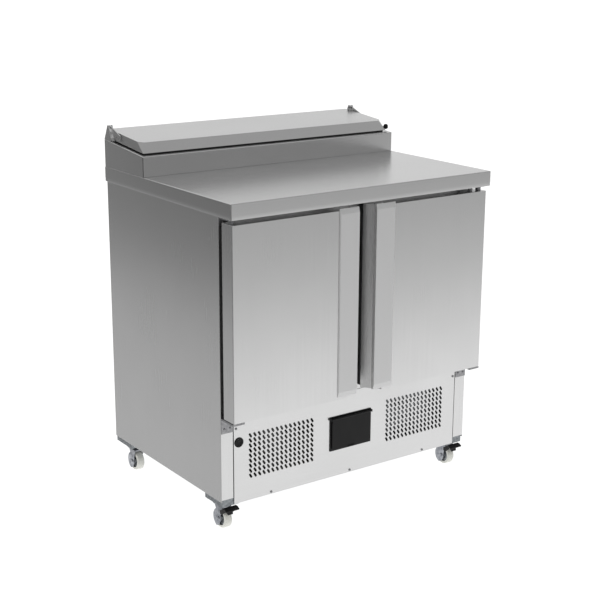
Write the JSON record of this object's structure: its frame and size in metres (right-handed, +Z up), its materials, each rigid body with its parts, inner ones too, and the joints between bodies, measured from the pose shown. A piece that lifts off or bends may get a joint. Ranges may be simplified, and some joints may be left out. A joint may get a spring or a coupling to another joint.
{
  "type": "sandwich prep table",
  "caption": "Refrigerated sandwich prep table in brushed stainless steel on swivel casters, with a worktop, raised lidded pan box, hinged doors, a louvred panel and a flap-covered controller.",
  "frame": {"origin": "on the floor under the middle of the table", "axes": "+X to the viewer's right along the front, +Y towards the back, +Z up; the doors face -Y"},
  "size_m": [0.9, 0.7, 1.0719],
  "materials": {
    "brushed_stainless": "fine vertical or lengthwise brushing, slightly milky",
    "hinge_steel": "plain cold-rolled stainless",
    "galvanised_steel": "galvanised sheet",
    "pan_steel": "drawn and polished inside",
    "coated_wire": "grey coated",
    "seal_rubber": "soft magnetic seal",
    "black_plastic": "moulded",
    "white_plastic": "vacuum formed",
    "foam": "foamed in place",
    "black_paint": "satin black",
    "coil_aluminium": "thin fins",
    "zinc_plate": "bright zinc plate",
    "wheel_tread": "cream-grey polyurethane"
  },
  "bodies": {
    "cabinet": {"back_panel": "brushed_stainless", "base_pan": "galvanised_steel", "cabinet_insulation": "foam", "cabinet_liner": "brushed_stainless", "cable_gland": "black_plastic", "compressor": "black_paint", "condenser_coil": "coil_aluminium", "condenser_fan_motor": "black_paint", "controller_body": "black_plastic", "door_frame": "brushed_stainless", "door_hinge_bottom_left": "hinge_steel", "door_hinge_bottom_right": "hinge_steel", "door_hinge_top_left": "hinge_steel", "door_hinge_top_right": "hinge_steel", "evaporator_coil": "coil_aluminium", "food_pan_1": "pan_steel", "food_pan_2": "pan_steel", "food_pan_3": "pan_steel", "food_pan_4": "pan_steel", "food_pan_5": "pan_steel", "lid_hinge_bracket_left": "hinge_steel", "lid_hinge_bracket_right": "hinge_steel", "louvre_panel": "brushed_stainless", "pan_collar": "brushed_stainless", "power_switch_body": "black_plastic", "shelf_left": "coated_wire", "shelf_right": "coated_wire", "side_panel_left": "brushed_stainless", "side_panel_right": "brushed_stainless", "worktop": "brushed_stainless"},
    "lid": {"lid_shell": "brushed_stainless", "lid_seal": "seal_rubber", "lid_arm_left": "hinge_steel", "lid_arm_right": "hinge_steel", "lid_knob": "black_plastic"},
    "door_left": {"door_left_shell": "brushed_stainless", "door_left_inner_panel": "white_plastic", "door_left_seal": "seal_rubber", "door_left_handle": "brushed_stainless"},
    "door_right": {"door_right_shell": "brushed_stainless", "door_right_inner_panel": "white_plastic", "door_right_seal": "seal_rubber", "door_right_handle": "brushed_stainless"},
    "flap": {"controller_flap": "black_plastic"},
    "button_1": {"controller_button_1": "white_plastic"},
    "button_2": {"controller_button_2": "white_plastic"},
    "button_3": {"controller_button_3": "white_plastic"},
    "rocker": {"power_switch_rocker": "black_plastic"},
    "condenser_fan": {"condenser_fan": "black_plastic"},
    "evaporator_fan": {"evaporator_fan": "black_plastic"},
    "fork_front_left": {"caster_fork_front_left": "zinc_plate"},
    "wheel_front_left": {"caster_wheel_front_left": "wheel_tread"},
    "fork_front_right": {"caster_fork_front_right": "zinc_plate"},
    "wheel_front_right": {"caster_wheel_front_right": "wheel_tread"},
    "fork_back_left": {"caster_fork_back_left": "zinc_plate"},
    "wheel_back_left": {"caster_wheel_back_left": "wheel_tread"},
    "fork_back_right": {"caster_fork_back_right": "zinc_plate"},
    "wheel_back_right": {"caster_wheel_back_right": "wheel_tread"},
    "brake_left": {"caster_brake_left": "black_plastic"},
    "brake_right": {"caster_brake_right": "black_plastic"}
  },
  "joints": [
    {"name": "lid_hinge", "type": "hinge", "parent": "cabinet", "child": "lid", "pos_m": [0, 0.32142, 1.06416], "axis": [-1, 0, 0], "range_deg": [0, 95]},
    {"name": "door_left_hinge", "type": "hinge", "parent": "cabinet", "child": "door_left", "pos_m": [-0.43, -0.318, 0.62], "axis": [0, 0, -1], "range_deg": [0, 95]},
    {"name": "door_right_hinge", "type": "hinge", "parent": "cabinet", "child": "door_right", "pos_m": [0.43, -0.318, 0.62], "axis": [0, 0, 1], "range_deg": [0, 95]},
    {"name": "flap_hinge", "type": "hinge", "parent": "cabinet", "child": "flap", "pos_m": [0, -0.2835, 0.2615], "axis": [-1, 0, 0], "range_deg": [0, 95]},
    {"name": "rocker_hinge", "type": "hinge", "parent": "cabinet", "child": "rocker", "pos_m": [-0.386, -0.273, 0.262], "axis": [-1, 0, 0], "range_deg": [0, 14]},
    {"name": "condenser_fan_spin", "type": "hinge", "parent": "cabinet", "child": "condenser_fan", "pos_m": [0.24, -0.168, 0.21], "axis": [0, 1, 0], "continuous": true},
    {"name": "evaporator_fan_spin", "type": "hinge", "parent": "cabinet", "child": "evaporator_fan", "pos_m": [0, 0.27, 0.735], "axis": [0, 1, 0], "continuous": true},
    {"name": "button_1_press", "type": "slide", "parent": "cabinet", "child": "button_1", "axis": [0, 1, 0], "range_m": [0, 0.0012], "stiffness_N_per_m": 200},
    {"name": "button_2_press", "type": "slide", "parent": "cabinet", "child": "button_2", "axis": [0, 1, 0], "range_m": [0, 0.0012], "stiffness_N_per_m": 200},
    {"name": "button_3_press", "type": "slide", "parent": "cabinet", "child": "button_3", "axis": [0, 1, 0], "range_m": [0, 0.0012], "stiffness_N_per_m": 200},
    {"name": "swivel_front_left", "type": "hinge", "parent": "cabinet", "child": "fork_front_left", "pos_m": [-0.413, -0.219, 0.074], "axis": [0, 0, 1], "continuous": true},
    {"name": "wheel_front_left_roll", "type": "hinge", "parent": "fork_front_left", "child": "wheel_front_left", "pos_m": [-0.413, -0.234, 0.031], "axis": [1, 0, 0], "continuous": true},
    {"name": "swivel_front_right", "type": "hinge", "parent": "cabinet", "child": "fork_front_right", "pos_m": [0.413, -0.219, 0.074], "axis": [0, 0, 1], "continuous": true},
    {"name": "wheel_front_right_roll", "type": "hinge", "parent": "fork_front_right", "child": "wheel_front_right", "pos_m": [0.413, -0.234, 0.031], "axis": [1, 0, 0], "continuous": true},
    {"name": "swivel_back_left", "type": "hinge", "parent": "cabinet", "child": "fork_back_left", "pos_m": [-0.413, 0.289, 0.074], "axis": [0, 0, 1], "continuous": true},
    {"name": "wheel_back_left_roll", "type": "hinge", "parent": "fork_back_left", "child": "wheel_back_left", "pos_m": [-0.413, 0.274, 0.031], "axis": [1, 0, 0], "continuous": true},
    {"name": "swivel_back_right", "type": "hinge", "parent": "cabinet", "child": "fork_back_right", "pos_m": [0.413, 0.289, 0.074], "axis": [0, 0, 1], "continuous": true},
    {"name": "wheel_back_right_roll", "type": "hinge", "parent": "fork_back_right", "child": "wheel_back_right", "pos_m": [0.413, 0.274, 0.031], "axis": [1, 0, 0], "continuous": true},
    {"name": "brake_left_tread", "type": "hinge", "parent": "fork_front_left", "child": "brake_left", "pos_m": [-0.413, -0.251, 0.055], "axis": [1, 0, 0], "range_deg": [0, 20]},
    {"name": "brake_right_tread", "type": "hinge", "parent": "fork_front_right", "child": "brake_right", "pos_m": [0.413, -0.251, 0.055], "axis": [1, 0, 0], "range_deg": [0, 20]}
  ]
}
